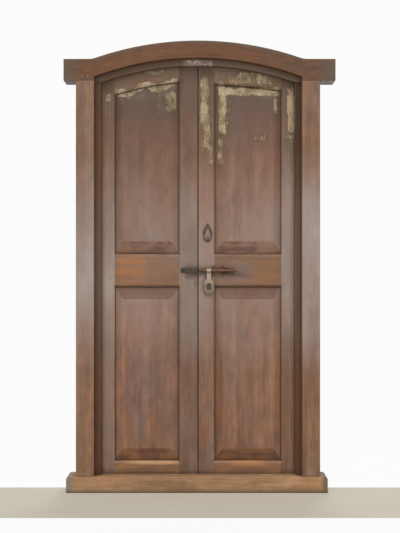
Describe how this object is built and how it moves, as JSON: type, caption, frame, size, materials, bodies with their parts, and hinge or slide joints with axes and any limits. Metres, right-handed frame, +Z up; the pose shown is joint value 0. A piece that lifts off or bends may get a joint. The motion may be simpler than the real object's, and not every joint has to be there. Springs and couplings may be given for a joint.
{
  "type": "double door with frame",
  "caption": "Arched double door of old timber in its frame: raised-panel leaves that swing inward on hinges, a front bolt with hanging hasp, a keyhole with drop cover and a rim lock.",
  "frame": {"origin": "middle of the doorway at the underside of the sill, half-way through the frame's depth", "axes": "+X to the right seen from outside, +Y into the house (the way the leaves open), +Z up"},
  "size_m": [1.361, 0.139, 2.2621],
  "materials": {
    "jamb_timber": "weathered, waxed",
    "head_timber": "weathered, waxed",
    "sill_timber": "weathered, worn bare",
    "leaf_timber": "weathered, waxed, with remnants of old paint",
    "panel_timber": "weathered, waxed, with remnants of old paint",
    "peg_timber": "end grain",
    "dark_iron": "rusty, blackened",
    "worn_iron": "worn bright, pitted"
  },
  "bodies": {
    "frame": {"head": "head_timber", "left_jamb": "jamb_timber", "right_jamb": "jamb_timber", "sill": "sill_timber", "frame_pegs": "peg_timber", "left_low_jamb_plate": "dark_iron", "left_mid_jamb_plate": "dark_iron", "left_high_jamb_plate": "dark_iron", "right_low_jamb_plate": "dark_iron", "right_mid_jamb_plate": "dark_iron", "right_high_jamb_plate": "dark_iron", "left_hinge_pins": "dark_iron", "right_hinge_pins": "dark_iron", "left_jamb_screws": "dark_iron", "right_jamb_screws": "dark_iron"},
    "left_leaf": {"left_hanging_stile": "leaf_timber", "left_meeting_stile": "leaf_timber", "left_top_rail": "leaf_timber", "left_lock_rail": "leaf_timber", "left_bottom_rail": "leaf_timber", "left_upper_panel": "panel_timber", "left_lower_panel": "panel_timber", "left_leaf_pegs": "peg_timber", "left_low_leaf_plate": "dark_iron", "left_mid_leaf_plate": "dark_iron", "left_high_leaf_plate": "dark_iron", "left_leaf_screws": "dark_iron", "bolt_keeper": "dark_iron", "bolt_keeper_nails": "dark_iron", "lock_strike": "dark_iron", "strike_screws_set": "dark_iron"},
    "right_leaf": {"right_hanging_stile": "leaf_timber", "right_meeting_stile": "leaf_timber", "right_top_rail": "leaf_timber", "right_lock_rail": "leaf_timber", "right_bottom_rail": "leaf_timber", "right_upper_panel": "panel_timber", "right_lower_panel": "panel_timber", "right_leaf_pegs": "peg_timber", "right_low_leaf_plate": "dark_iron", "right_mid_leaf_plate": "dark_iron", "right_high_leaf_plate": "dark_iron", "right_leaf_screws": "dark_iron", "inner_bolt_guide": "dark_iron", "outer_bolt_guide": "dark_iron", "bolt_guide_nails": "dark_iron", "keyhole_plate": "dark_iron", "keyhole_plate_pins": "dark_iron", "cover_rivet": "dark_iron", "lock_case": "dark_iron", "lock_spring": "worn_iron", "lock_screws_set": "dark_iron"},
    "bolt_rod": {"bolt_rod": "dark_iron"},
    "bolt_hasp": {"bolt_hasp": "worn_iron"},
    "keyhole_cover": {"keyhole_cover": "worn_iron"},
    "lock_bolt": {"lock_bolt": "worn_iron"}
  },
  "joints": [
    {"name": "left_leaf_swing", "type": "hinge", "parent": "frame", "child": "left_leaf", "pos_m": [-0.509, 0.0619, 1], "axis": [0, 0, 1], "range_deg": [0, 110]},
    {"name": "right_leaf_swing", "type": "hinge", "parent": "frame", "child": "right_leaf", "pos_m": [0.509, 0.0619, 1], "axis": [0, 0, -1], "range_deg": [0, 110]},
    {"name": "bolt_slide", "type": "slide", "parent": "right_leaf", "child": "bolt_rod", "axis": [-1, 0, 0], "range_m": [0, 0.036]},
    {"name": "hasp_swing", "type": "hinge", "parent": "bolt_rod", "child": "bolt_hasp", "pos_m": [0.055, 0, 1.111], "axis": [-1, 0, 0], "range_deg": [-4, 170]},
    {"name": "keyhole_cover_swing", "type": "hinge", "parent": "right_leaf", "child": "keyhole_cover", "pos_m": [0.0483, 0.011, 1.329], "axis": [0, 1, 0], "range_deg": [-100, 100]},
    {"name": "lock_bolt_slide", "type": "slide", "parent": "right_leaf", "child": "lock_bolt", "axis": [-1, 0, 0], "range_m": [0, 0.015]}
  ]
}
